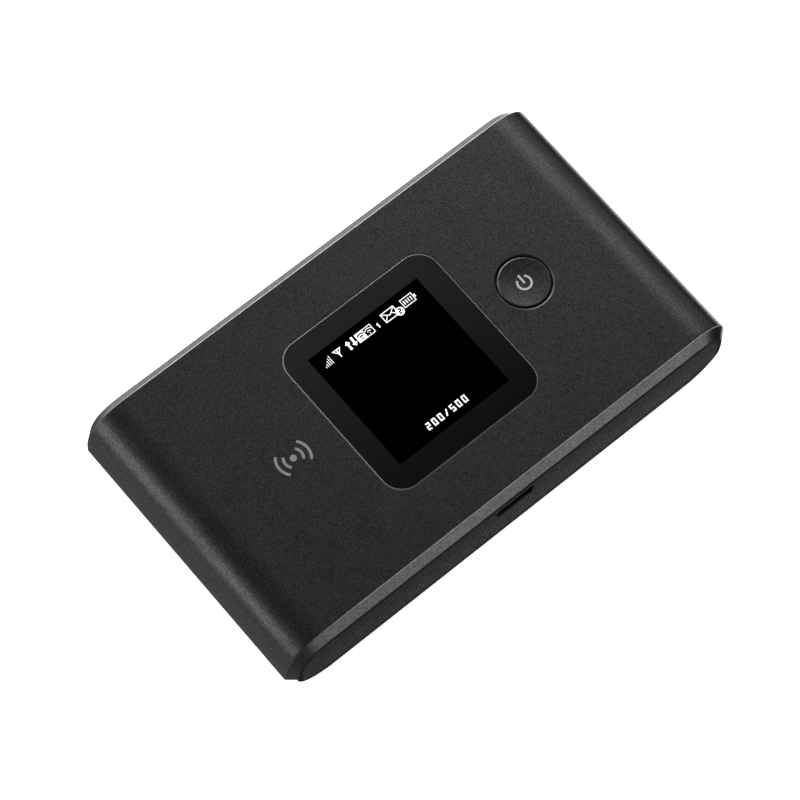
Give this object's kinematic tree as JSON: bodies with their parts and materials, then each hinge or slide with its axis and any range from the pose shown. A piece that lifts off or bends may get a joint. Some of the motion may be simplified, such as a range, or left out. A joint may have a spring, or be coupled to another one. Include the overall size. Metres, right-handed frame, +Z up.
{
  "type": "mobile hotspot",
  "caption": "Pocket mobile hotspot: slim case with rolled ends and chamfered long edges, square display window, round power button, micro-USB socket and lift-off textured rear cover.",
  "frame": {"origin": "on the resting face, under the middle of the case", "axes": "+X along the length towards the power button, +Y across, away from the USB socket, +Z up out of the display"},
  "size_m": [0.1, 0.057, 0.0164],
  "materials": {
    "shell_plastic": "fine matte grain, charcoal",
    "cover_plastic": "moulded in a fine raised pattern",
    "button_plastic": "satin, slightly dished",
    "window_pane": "polished, dark tinted",
    "frame_plastic": "moulded, matte",
    "carrier_plastic": "moulded, matte",
    "board": "solder mask",
    "black_plastic": "moulded",
    "chip_resin": "moulded resin",
    "steel": "pressed sheet",
    "gold_contact": "gold plated",
    "copper_foil": "bare copper foil",
    "battery_wrap": "satin film",
    "white_plastic": "moulded",
    "clear_plastic": "polished acrylic",
    "display_glass": "glass and polariser",
    "flex_film": "polyimide film",
    "foam": "foam tape",
    "thermal_gel": "soft gap filler",
    "paper_label": "blank sticker"
  },
  "bodies": {
    "rear_cover": {"rear_cover": "cover_plastic"},
    "case": {"amplifier_chip": "chip_resin", "baseband_chip": "chip_resin", "baseband_shield": "steel", "battery_connector": "black_plastic", "bay_label": "paper_label", "contact_spring_1": "gold_contact", "contact_spring_2": "gold_contact", "contact_spring_3": "gold_contact", "display_window": "window_pane", "diversity_antenna": "copper_foil", "flex_connector": "white_plastic", "frame_screw_1": "steel", "frame_screw_2": "steel", "frame_screw_3": "steel", "frame_screw_4": "steel", "frame_screw_5": "steel", "frame_screw_6": "steel", "front_shell": "shell_plastic", "lcd_flex": "flex_film", "lcd_frame": "white_plastic", "lcd_glass": "display_glass", "lcd_light_guide": "clear_plastic", "left_antenna_carrier": "carrier_plastic", "main_antenna": "copper_foil", "main_board": "board", "memory_chip": "chip_resin", "mid_frame": "frame_plastic", "power_chip": "chip_resin", "power_shield": "steel", "power_switch_body": "steel", "radio_chip": "chip_resin", "radio_shield": "steel", "reset_switch_body": "steel", "right_antenna_carrier": "carrier_plastic", "screen_gasket": "foam", "sim_contact_block": "black_plastic", "sim_socket": "steel", "thermal_pad": "thermal_gel", "usb_shell": "steel", "usb_tongue": "black_plastic", "wifi_antenna": "steel", "wifi_chip": "chip_resin", "wifi_shield": "steel", "window_adhesive": "foam"},
    "battery": {"battery_pack": "battery_wrap", "battery_pad_1": "gold_contact", "battery_pad_2": "gold_contact", "battery_pad_3": "gold_contact"},
    "power_button": {"power_button": "button_plastic"},
    "power_switch_plunger": {"power_switch_plunger": "black_plastic"},
    "reset_switch_plunger": {"reset_switch_plunger": "black_plastic"},
    "sim_card": {"sim_card": "white_plastic"}
  },
  "joints": [
    {"name": "case_lift", "type": "slide", "parent": "rear_cover", "child": "case", "axis": [0, 0, 1], "range_m": [0, 0.024]},
    {"name": "battery_lift", "type": "slide", "parent": "case", "child": "battery", "axis": [0, 0, -1], "range_m": [0, 0.012]},
    {"name": "power_button_press", "type": "slide", "parent": "case", "child": "power_button", "axis": [0, 0, -1], "range_m": [0, 0.0003], "stiffness_N_per_m": 2000, "springref_m": -0.0002},
    {"name": "power_switch_travel", "type": "slide", "parent": "case", "child": "power_switch_plunger", "axis": [0, 0, -1], "range_m": [0, 0.0003]},
    {"name": "reset_switch_travel", "type": "slide", "parent": "case", "child": "reset_switch_plunger", "axis": [0, 0, 1], "range_m": [0, 0.0003], "stiffness_N_per_m": 2000, "springref_m": -0.0002},
    {"name": "sim_card_slide", "type": "slide", "parent": "case", "child": "sim_card", "axis": [0, 1, 0], "range_m": [0, 0.0125]}
  ],
  "couplings": [
    {"joint": "battery_lift", "follows": "case_lift", "ratio": 0.5},
    {"joint": "power_switch_travel", "follows": "power_button_press", "ratio": 1}
  ]
}
